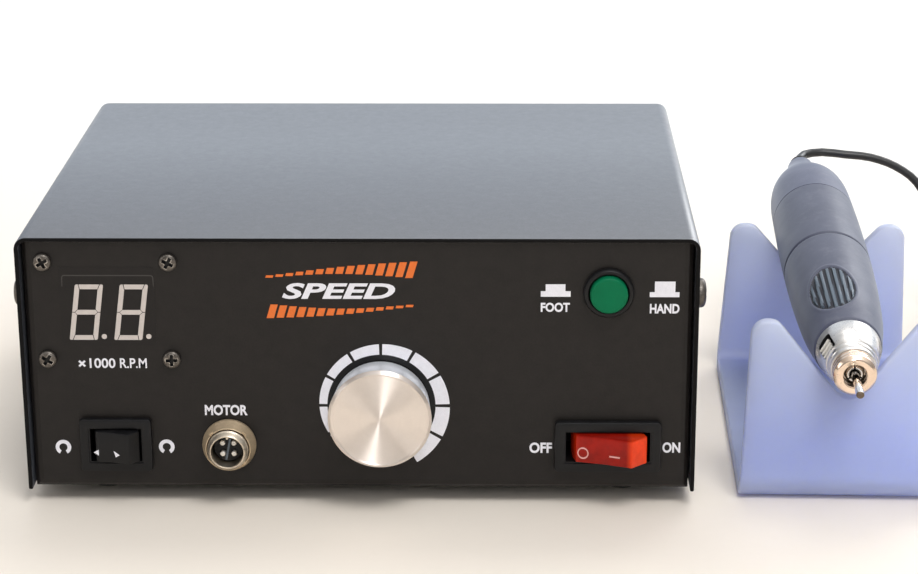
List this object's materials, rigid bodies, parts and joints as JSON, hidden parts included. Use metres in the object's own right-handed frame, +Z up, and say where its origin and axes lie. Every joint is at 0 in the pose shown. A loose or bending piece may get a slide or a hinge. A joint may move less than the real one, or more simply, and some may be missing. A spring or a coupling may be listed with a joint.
{
  "type": "dental lab micromotor",
  "caption": "Bench control unit with display, speed knob and switches, and a corded micromotor handpiece resting in a bent plastic cradle.",
  "frame": {"origin": "centre of the control unit's underside; its rubber feet and the cradle stand 5 mm below it", "axes": "+X to the right seen from the front, towards the handpiece; +Y to the rear; +Z up"},
  "size_m": [0.3395, 0.211, 0.0824],
  "materials": {
    "cover": "fine textured powder coat, mid grey",
    "chassis": "satin near-black paint with printed legends",
    "screw": "blackened, worn bright at the rims",
    "rubber": "matt",
    "black_plastic": "moulded, satin",
    "display": "dark filter",
    "board": "green laminate",
    "knob": "spun, clear anodised",
    "heat_sink": "extruded, plain",
    "nickel": "nickel plated brass",
    "green": "moulded, satin",
    "red": "moulded, polished",
    "laminated_steel": "varnished laminations",
    "grip": "soft-touch coat, dark blue grey",
    "nose": "turned and polished",
    "tool_steel": "ground",
    "cradle": "translucent acrylic sheet, satin",
    "copper": "varnished copper winding",
    "cord": "satin jacket"
  },
  "bodies": {
    "control_unit": {"chassis": "chassis", "cover": "cover", "display_module": "display", "display_board": "board", "main_board": "board", "power_transformer": "laminated_steel", "heat_sink": "heat_sink", "potentiometer": "nickel", "potentiometer_nut": "nickel", "motor_socket_shell": "nickel", "motor_socket_ring_nut": "nickel", "motor_socket_insert": "black_plastic", "direction_switch_housing": "black_plastic", "power_switch_housing": "black_plastic", "mode_button_housing": "black_plastic", "mode_button_nut": "nickel", "power_inlet": "black_plastic", "fuse_holder": "black_plastic", "foot_control_socket": "nickel", "cradle": "cradle", "cord_lead": "cord", "cord_coil": "cord", "cord_tail": "cord", "plug_shell": "nickel", "plug_insert": "black_plastic", "motor_socket_pin_1": "nickel", "motor_socket_pin_2": "nickel", "motor_socket_pin_3": "nickel", "motor_socket_pin_4": "nickel", "cover_screw_left_front": "screw", "foot_front_left": "rubber", "cover_screw_left_rear": "screw", "foot_rear_left": "rubber", "cover_screw_right_front": "screw", "foot_front_right": "rubber", "cover_screw_right_rear": "screw", "foot_rear_right": "rubber", "display_screw_upper_left": "screw", "display_screw_upper_right": "screw", "display_screw_lower_left": "screw", "display_screw_lower_right": "screw"},
    "speed_knob": {"speed_knob": "knob", "potentiometer_shaft": "nickel"},
    "power_rocker": {"power_rocker": "red"},
    "direction_rocker": {"direction_rocker": "black_plastic"},
    "mode_button": {"mode_button_cap": "green"},
    "handpiece": {"rear_grip": "grip", "front_grip": "grip", "cord_boot": "rubber", "motor_sleeve": "nickel", "stator": "copper", "front_bearing": "tool_steel", "rear_bearing": "tool_steel", "nose_housing": "nose"},
    "lock_ring": {"lock_ring": "nose"},
    "spindle": {"spindle": "tool_steel", "rotor": "laminated_steel"},
    "collet": {"collet": "tool_steel"},
    "bur": {"bur": "tool_steel"},
    "plug_nut": {"plug_nut": "nickel"}
  },
  "joints": [
    {"name": "speed_knob_turn", "type": "hinge", "parent": "control_unit", "child": "speed_knob", "pos_m": [0.0064, -0.076, 0.0262], "axis": [0, 1, 0], "range_deg": [0, 300]},
    {"name": "power_switch_rock", "type": "hinge", "parent": "control_unit", "child": "power_rocker", "pos_m": [0.0721, -0.0775, 0.0142], "axis": [0, 0, 1], "range_deg": [0, 34]},
    {"name": "direction_switch_rock", "type": "hinge", "parent": "control_unit", "child": "direction_rocker", "pos_m": [-0.0711, -0.0774, 0.0142], "axis": [0, 0, 1], "range_deg": [0, 28]},
    {"name": "mode_button_press", "type": "slide", "parent": "control_unit", "child": "mode_button", "axis": [0, 1, 0], "range_m": [0, 0.0025], "stiffness_N_per_m": 400, "springref_m": -0.001},
    {"name": "handpiece_lift", "type": "slide", "parent": "control_unit", "child": "handpiece", "axis": [-0.0015, -0.0611, 0.9981], "range_m": [0, 0.1]},
    {"name": "lock_ring_turn", "type": "hinge", "parent": "handpiece", "child": "lock_ring", "pos_m": [0.14201, -0.08285, 0.03808], "axis": [-0.0244, -0.9978, -0.0611], "range_deg": [0, 60]},
    {"name": "spindle_spin", "type": "hinge", "parent": "handpiece", "child": "spindle", "pos_m": [0.14201, -0.08285, 0.03808], "axis": [-0.0244, -0.9978, -0.0611], "continuous": true},
    {"name": "collet_release", "type": "slide", "parent": "spindle", "child": "collet", "axis": [-0.0244, -0.9978, -0.0611], "range_m": [0, 0.0008]},
    {"name": "bur_change", "type": "slide", "parent": "collet", "child": "bur", "axis": [-0.0244, -0.9978, -0.0611], "range_m": [0, 0.028]},
    {"name": "plug_nut_turn", "type": "hinge", "parent": "control_unit", "child": "plug_nut", "pos_m": [0.1945, 0.012, 0.0023], "axis": [0, -1, 0], "continuous": true}
  ],
  "couplings": [
    {"joint": "lock_ring_turn", "follows": "collet_release", "rad_per_m": 1300}
  ]
}
